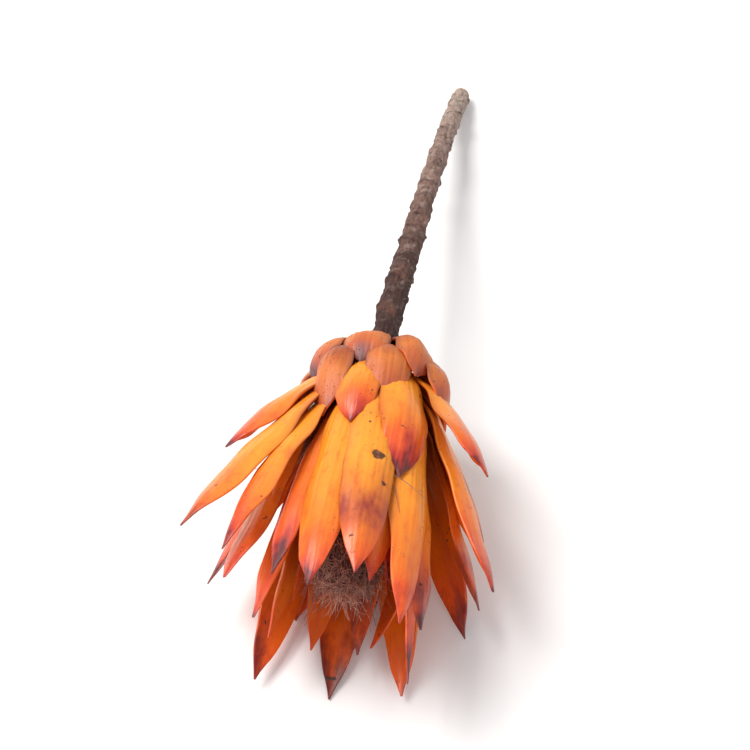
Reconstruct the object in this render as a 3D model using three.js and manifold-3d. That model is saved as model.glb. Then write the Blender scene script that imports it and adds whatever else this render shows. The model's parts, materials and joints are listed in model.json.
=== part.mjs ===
// Dried sugarbush (protea) flower head on its cut woody stem, lying on its side on a flat surface.
// Millimetres, +Z up, the head towards -Y and the cut stem towards +Y.
//
// The head is a goblet of stiff, cupped bracts round a packed cone of florets. Every bract is drawn
// in a half-plane through the flower's own axis: "along" is the distance from the head's base towards
// the tips, and "out" is the distance from the axis. Azimuth 0 is the upper side and 90 is +X.
import * as THREE from "three";
import { ConvexHull } from "three/addons/math/ConvexHull.js";
import { mergeVertices } from "three/addons/utils/BufferGeometryUtils.js";
import Module from "manifold-3d";

const wasm = await Module();
wasm.setup();

// ---- driving dimensions ------------------------------------------------------------------------
const GAP = 0.2; // clear space kept between neighbouring pieces
const EDGE_THINNING = 0.45; // share of the thickness lost at a bract's margins
const TIP_THINNING = 0.45; // share of the thickness lost at its tip
const TIP_HALF_WIDTH = 0.5;
const ROOT_ARC_LENGTH = 5; // a bract leaves the receptacle's curve within about this length
// A scale that hugs the goblet opens mostly at its back.
const HUGGING_SWING = 0.7; // share of its opening that swings its end outwards
const HUGGING_TURN = 0.1; // share that turns the direction of its end
const HUGGING_BULGE = 0.1; // millimetres by which its back bulges for each degree
const OPENING_STEP = 0.75; // degrees by which a bract opens until it clears those inside it
const MOST_STEPS = 90;
const STEM_CUT_CHAMFER = 0.5;

// Profile of the stem's swollen end, which carries the bracts: [along, out].
const RECEPTACLE = [
  [-9, 3.0],
  [-5.5, 3.3],
  [-3, 4.0],
  [-0.5, 5.2],
  [2.5, 6.3],
  [5.5, 6.7],
  [8.5, 6.1],
  [11, 4.6],
  [12.6, 2.6],
];
const RECEPTACLE_TOP = 13.4;

// Centre line of the stem behind the receptacle: [along, sideways to +X, up].
const STEM_LINE = [
  [-9, 0, 0],
  [-18, 0.3, -0.8],
  [-32, 1.2, -4.0],
  [-50, 2.4, -9.6],
  [-70, 3.6, -16.0],
  [-92, 5.6, -22.8],
  [-112, 7.6, -30.0],
];
const STEM_RADIUS_AT_HEAD = 2.9;
const STEM_RADIUS_AT_CUT = 2.15;
const STEM_SIDES = 12;
const STEM_STATIONS = 22;

// Packed florets, from just above the receptacle to their frayed end: [along, out].
const FLORETS = [
  [13.9, 2.6],
  [17, 4.2],
  [23, 5.2],
  [32, 5.9],
  [42, 6.8],
  [49, 7.0],
  [53, 5.6],
];
const FLORETS_TOP = 55.5;

// ---- the bracts, row by row from the innermost ---------------------------------------------------
// seat: where the row grows on the receptacle, along its axis. launch: degrees from the axis at the
// root. root: half width there. thick: thickness at the root, in the middle. widest: how far along a
// bract is at its widest. point: how blunt its end is, 1 for a straight taper and 3 for a tongue.
// hugs: a short scale that keeps to the goblet's curve.
// Each bract: az, azimuth in degrees; reach and spread, where its tip is, along and out; width, full;
// end, degrees from the axis at the tip; cup, half the arc of its section in degrees; lean, degrees of
// azimuth that the tip swings; twist, degrees that its section has turned towards the tip.
const ROWS = [
  {
    name: "inner_bract",
    seat: 10.8,
    launch: 30,
    root: 1.8,
    thick: 0.6,
    widest: 0.5,
    point: 2.2,
    bracts: [
      { az: 20, reach: 45, spread: 8.4, width: 7, end: 2, cup: 40 },
      { az: 76, reach: 55, spread: 9.4, width: 7.4, end: 4, cup: 42, twist: 6 },
      { az: 136, reach: 57, spread: 10.4, width: 7.6, end: 8, cup: 40, lean: 4 },
      { az: -164, reach: 56, spread: 10.8, width: 7.8, end: 9, cup: 40, twist: -5 },
      { az: -112, reach: 57, spread: 10.2, width: 7.4, end: 6, cup: 42 },
      { az: -66, reach: 53, spread: 9, width: 6.8, end: 2, cup: 44, twist: -6 },
    ],
  },
  {
    name: "long_bract",
    seat: 8.6,
    launch: 34,
    root: 1.9,
    thick: 0.65,
    widest: 0.52,
    point: 2.4,
    bracts: [
      { az: 2, reach: 51, spread: 11.6, width: 8.6, end: 2, cup: 42 },
      { az: 46, reach: 56, spread: 13, width: 8.8, end: 3, cup: 44 },
      { az: 86, reach: 74, spread: 15.4, width: 10, end: 4, cup: 44, lean: 3 },
      { az: 120, reach: 62, spread: 12.4, width: 8, end: -26, cup: 36, lean: 22, twist: 12 },
      { az: 160, reach: 62, spread: 14.4, width: 8.8, end: 6, cup: 40 },
      { az: -162, reach: 61, spread: 14.6, width: 9.4, end: 8, cup: 42, lean: -4 },
      { az: -120, reach: 64, spread: 15.6, width: 9.6, end: 6, cup: 40, twist: -12 },
      { az: -80, reach: 66, spread: 16.6, width: 9.4, end: 4, cup: 42, lean: 2, twist: -30 },
      { az: -46, reach: 62, spread: 14, width: 8.2, end: -2, cup: 48, twist: -8 },
    ],
  },
  {
    name: "outer_bract",
    seat: 6.2,
    launch: 40,
    root: 2.1,
    thick: 0.7,
    widest: 0.54,
    point: 2.6,
    bracts: [
      { az: -21, reach: 66, spread: 15, width: 10, end: -4, cup: 52, lean: 3, point: 3.6 },
      { az: 22, reach: 60, spread: 15.6, width: 9.4, end: 0, cup: 48 },
      { az: 62, reach: 66, spread: 19, width: 10.4, end: 8, cup: 46, twist: 24 },
      { az: 103, reach: 50, spread: 30, width: 11, end: 20, cup: 54, lean: 3, twist: 24 },
      { az: 141, reach: 67, spread: 24.4, width: 10.8, end: 8, cup: 52, twist: -8 },
      { az: 180, reach: 69, spread: 21.5, width: 10.6, end: 6, cup: 48, lean: -2 },
      { az: -144, reach: 68, spread: 25, width: 11, end: 6, cup: 44, lean: 2 },
      { az: -90, reach: 57, spread: 24, width: 12, end: 10, cup: 50, lean: 4, twist: -38, point: 3 },
      { az: -57, reach: 62, spread: 16.5, width: 9, end: -4, cup: 58, twist: -8 },
    ],
  },
  {
    name: "goblet_bract",
    seat: 3.8,
    launch: 46,
    root: 2.3,
    thick: 0.8,
    widest: 0.54,
    point: 2.7,
    bracts: [
      { az: 5, reach: 62, spread: 16.6, width: 10.8, end: -8, cup: 52, lean: 3, point: 3.4 },
      { az: 45, reach: 68, spread: 18, width: 11, end: -4, cup: 54, lean: -2, point: 3 },
      { az: 84, reach: 55, spread: 25, width: 10.6, end: 10, cup: 62, lean: -3, twist: 12 },
      { az: 126, reach: 54, spread: 27, width: 10.8, end: 14, cup: 48 },
      { az: 166, reach: 50, spread: 21.5, width: 10.6, end: 8, cup: 48 },
      { az: -158, reach: 52, spread: 22.5, width: 10.6, end: 8, cup: 48 },
      { az: -112, reach: 53, spread: 28, width: 10.8, end: 14, cup: 50, twist: -30 },
      { az: -67, reach: 56, spread: 29, width: 12, end: 14, cup: 66, lean: -3, twist: -22 },
    ],
  },
  {
    name: "short_bract",
    seat: 1.3,
    launch: 54,
    root: 2.0,
    thick: 0.85,
    widest: 0.54,
    point: 2.7,
    bracts: [
      { az: -14, reach: 24, spread: 15, width: 10, end: -20, cup: 50, point: 3 },
      { az: 28, reach: 36, spread: 16.6, width: 11.8, end: -14, cup: 46, point: 2.8 },
      { az: 63, reach: 36, spread: 19, width: 10, end: 6, cup: 54, lean: 1, twist: 8 },
      { az: 102, reach: 37, spread: 25, width: 10.4, end: 16, cup: 46, twist: 20 },
      { az: 146, reach: 36, spread: 21, width: 10.8, end: 4, cup: 46 },
      { az: -171, reach: 34, spread: 19, width: 10.8, end: 0, cup: 46 },
      { az: -126, reach: 38, spread: 23, width: 10.8, end: 10, cup: 46, twist: -16 },
      { az: -74, reach: 32, spread: 26, width: 11, end: 20, cup: 62, lean: -2, twist: -20 },
    ],
  },
  {
    name: "base_scale",
    seat: -1.6,
    launch: 78,
    root: 2.0,
    thick: 1.0,
    widest: 0.5,
    point: 2.8,
    hugs: true,
    bracts: [
      { az: 10, reach: 16.5, spread: 12.6, width: 10, end: -12, cup: 46 },
      { az: 60, reach: 16, spread: 12.8, width: 9.8, end: -10, cup: 44 },
      { az: 112, reach: 17, spread: 13, width: 10, end: -8, cup: 44 },
      { az: 166, reach: 16, spread: 12.8, width: 10, end: -10, cup: 44 },
      { az: -142, reach: 17, spread: 13, width: 9.8, end: -10, cup: 44 },
      { az: -94, reach: 17, spread: 13.6, width: 9.6, end: -4, cup: 44 },
      { az: -45, reach: 20, spread: 14.2, width: 9.6, end: -6, cup: 48 },
    ],
  },
  {
    name: "collar_scale",
    seat: -4.4,
    launch: 90,
    root: 2.05,
    thick: 1.0,
    widest: 0.48,
    point: 3.2,
    hugs: true,
    bracts: [
      { az: -18, reach: 7, spread: 11.6, width: 10.2, end: -16, cup: 46 },
      { az: 35, reach: 9.5, spread: 12, width: 9.6, end: -16, cup: 46 },
      { az: 87, reach: 8, spread: 11.8, width: 9.4, end: -14, cup: 44 },
      { az: 139, reach: 7.5, spread: 11.6, width: 9.6, end: -16, cup: 44 },
      { az: -168, reach: 8, spread: 11.6, width: 9.4, end: -16, cup: 44 },
      { az: -118, reach: 8, spread: 11.8, width: 9.4, end: -14, cup: 44 },
      { az: -68, reach: 10, spread: 12.6, width: 9.6, end: -10, cup: 46 },
    ],
  },
];

// ---- the flower's own frame -----------------------------------------------------------------------
const AXIS = new THREE.Vector3(0, -1, 0); // from the head's base to the tips
const UP = new THREE.Vector3(0, 0, 1);
const SIDE = new THREE.Vector3(1, 0, 0);

const radians = THREE.MathUtils.degToRad;
const smooth = THREE.MathUtils.smoothstep;
const mix = THREE.MathUtils.lerp;

function outward(azimuth) {
  const angle = radians(azimuth);
  return UP.clone().multiplyScalar(Math.cos(angle)).addScaledVector(SIDE, Math.sin(angle));
}

function profileRadius(profile, along) {
  const next = profile.findIndex(([at]) => at >= along);
  const [a0, r0] = profile[Math.max(next - 1, 0)];
  const [a1, r1] = profile[Math.max(next, 1)];
  return mix(r0, r1, (along - a0) / (a1 - a0));
}

// ---- materials --------------------------------------------------------------------------------------
const bractMaterial = new THREE.MeshStandardMaterial({ color: 0xe8862c, roughness: 0.45, metalness: 0 });
const scaleMaterial = new THREE.MeshStandardMaterial({ color: 0xb5652f, roughness: 0.55, metalness: 0 });
const barkMaterial = new THREE.MeshStandardMaterial({ color: 0x6e5045, roughness: 0.85, metalness: 0 });
const floretMaterial = new THREE.MeshStandardMaterial({ color: 0x8f5a48, roughness: 0.9, metalness: 0 });

// ---- a bract ------------------------------------------------------------------------------------------
// Its middle line: a Bezier in the half-plane, which leans round the axis towards the tip.
class BractLine extends THREE.Curve {
  constructor(row, bract, opened) {
    super();
    this.azimuth = bract.az;
    this.lean = bract.lean ?? 0;
    const root = new THREE.Vector2(row.seat, profileRadius(RECEPTACLE, row.seat) + GAP + row.thick);
    const swing = row.hugs ? HUGGING_SWING * opened : opened;
    const tip = new THREE.Vector2(bract.reach, bract.spread).rotateAround(root, radians(swing));
    const reach = root.distanceTo(tip);
    const launch = radians(row.launch);
    const end = radians(bract.end + (row.hugs ? HUGGING_TURN : 1) * opened);
    const rootHandle = row.hugs ? 0.5 * reach + HUGGING_BULGE * opened : ROOT_ARC_LENGTH + 0.05 * reach;
    const tipHandle = 0.42 * reach;
    this.halfPlane = new THREE.CubicBezierCurve(
      root,
      new THREE.Vector2(rootHandle * Math.cos(launch), rootHandle * Math.sin(launch)).add(root),
      new THREE.Vector2(-tipHandle * Math.cos(end), -tipHandle * Math.sin(end)).add(tip),
      tip,
    );
  }

  azimuthAt(t) {
    return this.azimuth + this.lean * t * t;
  }

  getPoint(t, target = new THREE.Vector3()) {
    const { x: along, y: out } = this.halfPlane.getPoint(t);
    return target.copy(AXIS).multiplyScalar(along).addScaledVector(outward(this.azimuthAt(t)), out);
  }
}

// Half width at u, 0 at the root and 1 at the tip.
function halfWidth(row, bract, u) {
  const full = bract.width / 2;
  if (u < row.widest) return mix(row.root, full, Math.sin((Math.PI / 2) * (u / row.widest)));
  const past = (u - row.widest) / (1 - row.widest);
  return Math.max(full * (1 - past ** (bract.point ?? row.point)), TIP_HALF_WIDTH);
}

// A box of one layer is bent onto the bract: x runs across it, y through it and z from root to tip.
function bractGeometry(row, bract, opened, extra = 0) {
  const line = new BractLine(row, bract, opened);
  const long = bract.reach > 30;
  const box = new THREE.BoxGeometry(2, 1, 1, 4, 1, long ? 8 : 6);
  const place = box.getAttribute("position");
  const point = new THREE.Vector3();
  for (let i = 0; i < place.count; i++) {
    const across = place.getX(i);
    const depth = 0.5 - place.getY(i);
    const step = place.getZ(i) + 0.5;
    const u = mix(step, 0.5 - 0.5 * Math.cos(Math.PI * step), 0.4);
    const t = line.getUtoTmapping(u);
    const along = line.getTangent(t);
    const out = outward(line.azimuthAt(t));
    out.addScaledVector(along, -out.dot(along)).normalize();
    out.applyAxisAngle(along, radians((bract.twist ?? 0) * smooth(u, 0.15, 0.8)));
    const side = new THREE.Vector3().crossVectors(out, along);

    const half = halfWidth(row, bract, u);
    const rootArc = row.root / profileRadius(RECEPTACLE, row.seat);
    const arc = mix(rootArc, radians(bract.cup), smooth(u, 0.08, 0.5)) * mix(1, 0.55, smooth(u, 0.7, 1));
    const bend = half / arc;
    const turn = across * arc;
    const normal = out.clone().multiplyScalar(Math.cos(turn)).addScaledVector(side, Math.sin(turn));
    const thickness = row.thick * (1 - EDGE_THINNING * across ** 2) * (1 - TIP_THINNING * u ** 2);

    point.copy(line.getPoint(t));
    point.addScaledVector(side, bend * Math.sin(turn));
    point.addScaledVector(out, -bend * (1 - Math.cos(turn)));
    point.addScaledVector(normal, extra - (thickness + 2 * extra) * depth);
    place.setXYZ(i, point.x, point.y, point.z);
  }
  box.computeVertexNormals();
  return box;
}

// ---- solids, for the test that no two pieces meet ------------------------------------------------------
function solidOf(geometry) {
  const bare = geometry.clone();
  bare.deleteAttribute("normal");
  bare.deleteAttribute("uv");
  const merged = mergeVertices(bare, 1e-3);
  return new wasm.Manifold(
    new wasm.Mesh({
      numProp: 3,
      vertProperties: merged.getAttribute("position").array,
      triVerts: new Uint32Array(merged.index.array),
    }),
  );
}

// Opens a bract a little at a time until it clears every piece placed before it.
function openedClear(row, bract, placed) {
  for (let step = 0; step < MOST_STEPS; step++) {
    const opened = step * OPENING_STEP;
    const padded = solidOf(bractGeometry(row, bract, opened, GAP / 2));
    if (placed.every((solid) => padded.intersect(solid).isEmpty())) return opened;
  }
  throw new Error(`${row.name} at ${bract.az} degrees never clears its neighbours`);
}

// ---- stem and florets ------------------------------------------------------------------------------------
function stemGeometry() {
  const behind = STEM_LINE.map(([along, side, up]) => new THREE.Vector3(side, -along, up));
  const line = new THREE.CatmullRomCurve3(behind.reverse(), false, "centripetal");
  const length = line.getLength();
  const neck = -RECEPTACLE[0][0];
  const total = length + RECEPTACLE_TOP + neck;
  const profile = [new THREE.Vector2(0, 0), new THREE.Vector2(0.86 * STEM_RADIUS_AT_CUT, 0)];
  for (let i = 0; i < STEM_STATIONS; i++) {
    const u = i / STEM_STATIONS;
    const at = u * length + (i ? 0 : STEM_CUT_CHAMFER);
    profile.push(new THREE.Vector2(mix(STEM_RADIUS_AT_CUT, STEM_RADIUS_AT_HEAD, u), at));
  }
  RECEPTACLE.forEach(([along, out]) => profile.push(new THREE.Vector2(out, length + neck + along)));
  profile.push(new THREE.Vector2(0, total));

  // The lathe is turned round +Y, which is then bent onto the stem's line.
  const lathe = new THREE.LatheGeometry(profile, STEM_SIDES);
  const place = lathe.getAttribute("position");
  for (let i = 0; i < place.count; i++) {
    const x = place.getX(i);
    const y = place.getY(i);
    const z = place.getZ(i);
    const u = Math.min(y / length, 1);
    const centre = line.getPointAt(u);
    const along = u < 1 ? line.getTangentAt(u) : AXIS.clone();
    if (y > length) centre.addScaledVector(AXIS, y - length);
    const across = new THREE.Vector3().crossVectors(UP, along).normalize();
    const above = new THREE.Vector3().crossVectors(along, across);
    centre.addScaledVector(across, z).addScaledVector(above, x);
    place.setXYZ(i, centre.x, centre.y, centre.z);
  }
  lathe.computeVertexNormals();
  return lathe;
}

function floretGeometry() {
  const profile = [new THREE.Vector2(0, FLORETS[0][0])];
  FLORETS.forEach(([along, out]) => profile.push(new THREE.Vector2(out, along)));
  profile.push(new THREE.Vector2(0, FLORETS_TOP));
  return new THREE.LatheGeometry(profile, STEM_SIDES).rotateZ(Math.PI);
}

// ---- the flower ------------------------------------------------------------------------------------------
const flower = new THREE.Group();
const solids = [];

function addPiece(name, geometry, material) {
  const mesh = new THREE.Mesh(geometry, material);
  mesh.name = name;
  flower.add(mesh);
  solids.push(solidOf(geometry));
}

addPiece("stem", stemGeometry(), barkMaterial);
addPiece("florets", floretGeometry(), floretMaterial);
for (const row of ROWS) {
  const scale = row.name.endsWith("scale");
  row.bracts.forEach((bract, i) => {
    const opened = openedClear(row, bract, solids);
    const name = `${row.name}_${String(i + 1).padStart(2, "0")}`;
    addPiece(name, bractGeometry(row, bract, opened), scale ? scaleMaterial : bractMaterial);
  });
}

// ---- at rest on the surface ----------------------------------------------------------------------------
// The flower lies on the face of its convex hull that is nearest to facing down and lies under its
// centre of mass. That face turns to the horizontal at z = 0, and the origin is below the middle.
function settle(group) {
  group.updateMatrixWorld(true);
  const points = [];
  const mass = new THREE.Vector3();
  let volume = 0;
  group.children.forEach((mesh, i) => {
    const place = mesh.geometry.getAttribute("position");
    const box = new THREE.Box3().setFromBufferAttribute(place);
    const share = solids[i].volume();
    mass.addScaledVector(box.getCenter(new THREE.Vector3()), share);
    volume += share;
    for (let k = 0; k < place.count; k++) points.push(new THREE.Vector3().fromBufferAttribute(place, k));
  });
  mass.divideScalar(volume);
  const hull = new ConvexHull().setFromPoints(points);
  const holds = (face) => {
    const corners = [face.edge.head(), face.edge.next.head(), face.edge.next.next.head()].map((v) => v.point);
    const onFace = mass.clone().addScaledVector(face.normal, -face.distanceToPoint(mass));
    return new THREE.Triangle(...corners).containsPoint(onFace);
  };
  const resting = hull.faces.filter(holds).sort((a, b) => a.normal.z - b.normal.z)[0];
  group.quaternion.setFromUnitVectors(resting.normal.clone(), UP.clone().negate());
  group.updateMatrixWorld(true);
  const bounds = new THREE.Box3().setFromObject(group, true);
  const middle = bounds.getCenter(new THREE.Vector3());
  group.position.set(-middle.x, -middle.y, -bounds.min.z);
}

settle(flower);

export default flower;
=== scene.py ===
# %% [markdown]
# # A dried sugarbush flower
#
# A dried protea head on its cut woody stem lies on a table. It is a goblet of stiff, cupped
# bracts, which are leaves coloured like petals, with a packed cone of florets inside. The solid
# model of every bract, the cone and the stem is loaded as a fixed frame. Each of them is then
# copied, smoothed and given the ridges, dents, scars and colours that dried plant matter has.

# %% Load the frame
import json
import math
import random
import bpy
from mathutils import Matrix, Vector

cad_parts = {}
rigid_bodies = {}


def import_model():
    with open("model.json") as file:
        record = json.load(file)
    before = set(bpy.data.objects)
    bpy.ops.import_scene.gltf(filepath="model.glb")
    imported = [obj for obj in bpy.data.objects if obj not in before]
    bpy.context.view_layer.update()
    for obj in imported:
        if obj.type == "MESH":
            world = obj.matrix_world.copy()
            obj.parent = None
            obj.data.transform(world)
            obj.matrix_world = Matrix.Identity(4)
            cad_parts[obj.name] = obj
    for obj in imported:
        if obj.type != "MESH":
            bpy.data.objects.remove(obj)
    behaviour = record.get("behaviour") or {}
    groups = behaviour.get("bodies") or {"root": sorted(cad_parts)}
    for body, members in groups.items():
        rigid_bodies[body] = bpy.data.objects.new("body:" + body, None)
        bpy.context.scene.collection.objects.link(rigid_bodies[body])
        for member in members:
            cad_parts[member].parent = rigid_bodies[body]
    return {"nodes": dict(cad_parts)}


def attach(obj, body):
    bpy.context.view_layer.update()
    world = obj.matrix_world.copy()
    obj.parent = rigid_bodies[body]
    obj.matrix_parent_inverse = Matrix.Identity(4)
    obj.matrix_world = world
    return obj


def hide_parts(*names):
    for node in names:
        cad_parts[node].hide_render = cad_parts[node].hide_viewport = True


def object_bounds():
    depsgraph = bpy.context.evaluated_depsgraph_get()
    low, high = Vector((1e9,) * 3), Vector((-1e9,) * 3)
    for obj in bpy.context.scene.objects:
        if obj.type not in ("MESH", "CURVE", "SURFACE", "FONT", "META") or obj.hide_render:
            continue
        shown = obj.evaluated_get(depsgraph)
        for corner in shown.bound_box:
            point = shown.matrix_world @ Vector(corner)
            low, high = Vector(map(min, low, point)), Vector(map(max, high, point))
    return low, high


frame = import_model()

from types import SimpleNamespace

import bpy
import numpy as np
from mathutils import Vector, noise

cad_box = [list(corner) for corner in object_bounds()]
nodes = frame["nodes"]
MM = 0.001
print(len(nodes), "nodes in a box of", [round((b - a) / MM, 1) for a, b in zip(*cad_box)], "mm")

# %% [markdown]
# ## The camera
#
# A long lens from well above the table shows the head falling towards the viewer and the stem
# running away behind it. The camera is made first, so that every later step can be judged by it.
# Its lens follows from the distance and from how much of the table the view should hold.

# %% Make the camera
AZIMUTH = 8
ELEVATION = 51
DISTANCE = 0.48
LOOK_AT = Vector((-0.001, -0.012, 0.014))
FIELD = 0.168  # height of the view at LOOK_AT
SENSOR = 36

azimuth, elevation = math.radians(AZIMUTH), math.radians(ELEVATION)
back = Vector((
    math.sin(azimuth) * math.cos(elevation),
    -math.cos(azimuth) * math.cos(elevation),
    math.sin(elevation),
))
bpy.ops.object.camera_add(location=LOOK_AT + back * DISTANCE)
camera = bpy.context.object
camera.rotation_euler = back.to_track_quat("Z", "Y").to_euler()
camera.data.sensor_width = SENSOR
camera.data.lens = SENSOR * DISTANCE / FIELD
camera.data.clip_start = 0.01
camera.data.clip_end = 10
bpy.context.scene.camera = camera
bpy.context.scene.view_settings.view_transform = "Standard"
print("lens", round(camera.data.lens), "mm")

# %% [markdown]
# ## The table and the light
#
# The flower lies on a white sheet in soft light. A large lamp up on the left gives the bracts
# their pale upper sides, a weaker one on the right opens the shadows, and a bright sky keeps the
# floor near white. The sheet lies a hair's breadth below the flower, so that the two never share
# a face.

# %% Lay the white sheet
SHEET_SIZE = 6
SHEET_GAP = 0.2 * MM

bpy.ops.mesh.primitive_plane_add(size=SHEET_SIZE, location=(0, 0, -SHEET_GAP))
floor = bpy.context.object
floor.name = "table_top"
paper = bpy.data.materials.new("white_sheet")
paper.use_nodes = True
sheet_shader = paper.node_tree.nodes["Principled BSDF"]
sheet_shader.inputs["Base Color"].default_value = (0.93, 0.925, 0.93, 1)
sheet_shader.inputs["Roughness"].default_value = 0.7
floor.data.materials.append(paper)
print("sheet", SHEET_SIZE, "m wide")


# %% Set the lamps and the sky
def lamp(name, place, size, power, colour):
    """A square lamp of that size in metres and power in watts, facing the flower."""
    bpy.ops.object.light_add(type="AREA", location=place)
    light = bpy.context.object
    light.name = name
    light.data.size = size
    light.data.energy = power
    light.data.color = colour
    light.rotation_euler = (Vector(place) - LOOK_AT).to_track_quat("Z", "Y").to_euler()


lamp("key_lamp", place=(-0.45, 0.05, 0.75), size=0.4, power=7.4, colour=(1.0, 0.975, 0.94))
lamp("fill_lamp", place=(0.6, -0.7, 0.6), size=0.9, power=1.6, colour=(1.0, 0.98, 0.96))
world = bpy.data.worlds.new("pale_sky")
bpy.context.scene.world = world
world.use_nodes = True
sky = world.node_tree.nodes["Background"]
sky.inputs["Color"].default_value = (1, 1, 1, 1)
sky.inputs["Strength"].default_value = 0.6
print("two lamps and a sky of strength", round(sky.inputs["Strength"].default_value, 2))

# %% [markdown]
# ## Copies of the frame's pieces
#
# Every bract, the cone and the stem grew in one piece, and the frame already holds each of them
# with its true place, cup and outline. So no piece starts from a new primitive. Each is a copy of
# its solid: the loose triangles are joined at their corners and paired into quads, because a
# subdivision surface runs smoothly over quads and pinches on triangles. The copy then stands for
# the solid, which stays hidden in the frame.


# %% Helpers for selecting and measuring
def deselect_all():
    if bpy.context.mode != "OBJECT":
        bpy.ops.object.mode_set(mode="OBJECT")
    bpy.ops.object.select_all(action="DESELECT")


def select_only(piece):
    deselect_all()
    piece.select_set(True)
    bpy.context.view_layer.objects.active = piece


def per_corner(mesh, what):
    """The place ("co") or the outward direction ("normal") of every corner of the mesh."""
    flat = np.empty(len(mesh.vertices) * 3)
    mesh.vertices.foreach_get(what, flat)
    return flat.reshape(-1, 3)


def store(mesh, name, values):
    """Keeps one number, or three, for every corner of the mesh, for the materials to read."""
    values = np.asarray(values, dtype=np.float32)
    kind = "FLOAT_VECTOR" if values.ndim == 2 else "FLOAT"
    attribute = mesh.attributes.new(name, kind, "POINT")
    attribute.data.foreach_set("vector" if values.ndim == 2 else "value", values.ravel())


# %% Helpers that copy, smooth and attach a piece
MERGE_WITHIN = 0.01 * MM
QUAD_BEND = math.radians(60)  # two triangles pair up if they bend by less than this
QUAD_SKEW = math.radians(70)


def merged_copy(node, name):
    """A copy of a frame piece whose loose triangles are joined, and paired into quads."""
    select_only(nodes[node])
    bpy.ops.object.duplicate(linked=False)
    piece = bpy.context.object
    bpy.ops.object.parent_clear(type="CLEAR_KEEP_TRANSFORM")
    piece.name = name
    for key in list(piece.keys()):
        del piece[key]
    bpy.ops.object.mode_set(mode="EDIT")
    bpy.ops.mesh.select_all(action="SELECT")
    bpy.ops.mesh.remove_doubles(threshold=MERGE_WITHIN)
    bpy.ops.mesh.tris_convert_to_quads(face_threshold=QUAD_BEND, shape_threshold=QUAD_SKEW)
    bpy.ops.object.mode_set(mode="OBJECT")
    piece.data.materials.clear()
    return piece


def subdivided(piece, levels):
    """The piece with a smooth surface of that many levels, applied."""
    smooth = piece.modifiers.new("smooth", "SUBSURF")
    smooth.levels = levels
    smooth.render_levels = levels
    select_only(piece)
    bpy.ops.object.modifier_apply(modifier="smooth")
    return piece


def hand_in(piece, node=None):
    """Shades the piece smooth, sets it on the root body and hides the node that it replaces."""
    select_only(piece)
    bpy.ops.object.shade_smooth()
    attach(piece, "root")
    if node:
        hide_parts(node)


# %% [markdown]
# ## Where things are on the flower
#
# Bracts, florets and hairs are all placed round the flower's own axis. The floret cone is round,
# so the middle of its corners is on that axis, and so is its end point.

# %% Find the flower's axis
CONE_END = 55.5 * MM  # from the base of the head to the end of the cone
MICROMETRE_DIGITS = 6

cone = np.unique(np.round(per_corner(nodes["florets"].data, "co"), MICROMETRE_DIGITS), axis=0)
cone_end = Vector(cone[cone[:, 1].argmin()])
AXIS = (cone_end - Vector(cone.mean(axis=0))).normalized()
BASE = cone_end - AXIS * CONE_END  # where the stem swells into the head
AXIS_UP = (Vector((0, 0, 1)) - AXIS * AXIS.z).normalized()
AXIS_SIDE = AXIS_UP.cross(AXIS).normalized()
print("axis", [round(v, 3) for v in AXIS], "base", [round(v / MM, 1) for v in BASE])


def on_flower(azimuth_deg, along, out):
    """The point at that azimuth, distance along the axis and distance from it, in metres."""
    turn = math.radians(azimuth_deg)
    return BASE + AXIS * along + (AXIS_UP * math.cos(turn) + AXIS_SIDE * math.sin(turn)) * out


# %% [markdown]
# ## The bracts
#
# A dried bract is a thick leathery blade. Sculpting it by hand would give one good blade but not
# 54 different ones, so the shape is made by rules. A subdivision surface rounds the copy; the
# sharp rim is creased first, so that the outline stays. Then its corners are moved: fine ribs run
# from root to tip, shallow dents come from drying, and the margins wave a little. All the rules
# read where a corner lies on its own bract, from root to tip and across, so that ribs follow the
# blade wherever it points.

# %% Find a bract's own directions
ROOT_CORNERS = 10
AXIS_SHARE = 0.35  # how much the distance along the axis counts in finding the root


def bract_directions(points):
    """Root, length, and the length, outward and sideways directions of a bract."""
    axis = np.array(AXIS)
    base = np.array(BASE)
    along = (points - base) @ axis
    radial = points - base - np.outer(along, axis)
    remoteness = np.linalg.norm(radial, axis=1) + np.abs(along) * AXIS_SHARE
    root = points[np.argsort(remoteness)[:ROOT_CORNERS]].mean(axis=0)
    tip = points[np.linalg.norm(points - root, axis=1).argmax()]
    length = np.linalg.norm(tip - root)
    run = (tip - root) / length
    middle = points.mean(axis=0)
    outward = middle - base - axis * ((middle - base) @ axis)
    outward = outward - run * (outward @ run)
    outward /= np.linalg.norm(outward)
    return root, length, run, outward, np.cross(outward, run)


# %% Find where each corner lies on its bract
CUP_RADIUS = 5 * MM  # a line this far inside the bract tells its outer face from its inner one


def bract_layout(mesh):
    """u is 0 at the root and 1 at the tip, v is the distance from the middle line."""
    points = per_corner(mesh, "co")
    root, length, run, outward, side = bract_directions(points)
    u = np.clip(((points - root) @ run) / length, 0, 1)
    v = (points - root) @ side
    facing = per_corner(mesh, "normal")
    from_inside = points - (root + np.outer(u * length, run) - outward * CUP_RADIUS)
    from_inside /= np.linalg.norm(from_inside, axis=1)[:, None]
    return SimpleNamespace(
        points=points, facing=facing, root=root, length=length, run=run, outward=outward, side=side,
        u=u, v=v,
        width=np.abs(v) / np.abs(v).max(),  # 0 on the middle line, 1 at the widest margin
        outer=np.clip((facing * from_inside).sum(axis=1) * 2 + 0.5, 0, 1),  # 1 on the outer face
    )


# %% Ribs, dents and wavy margins
RIB_WIDTH = 0.95 * MM
RIB_HEIGHT = 0.05 * MM
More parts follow.
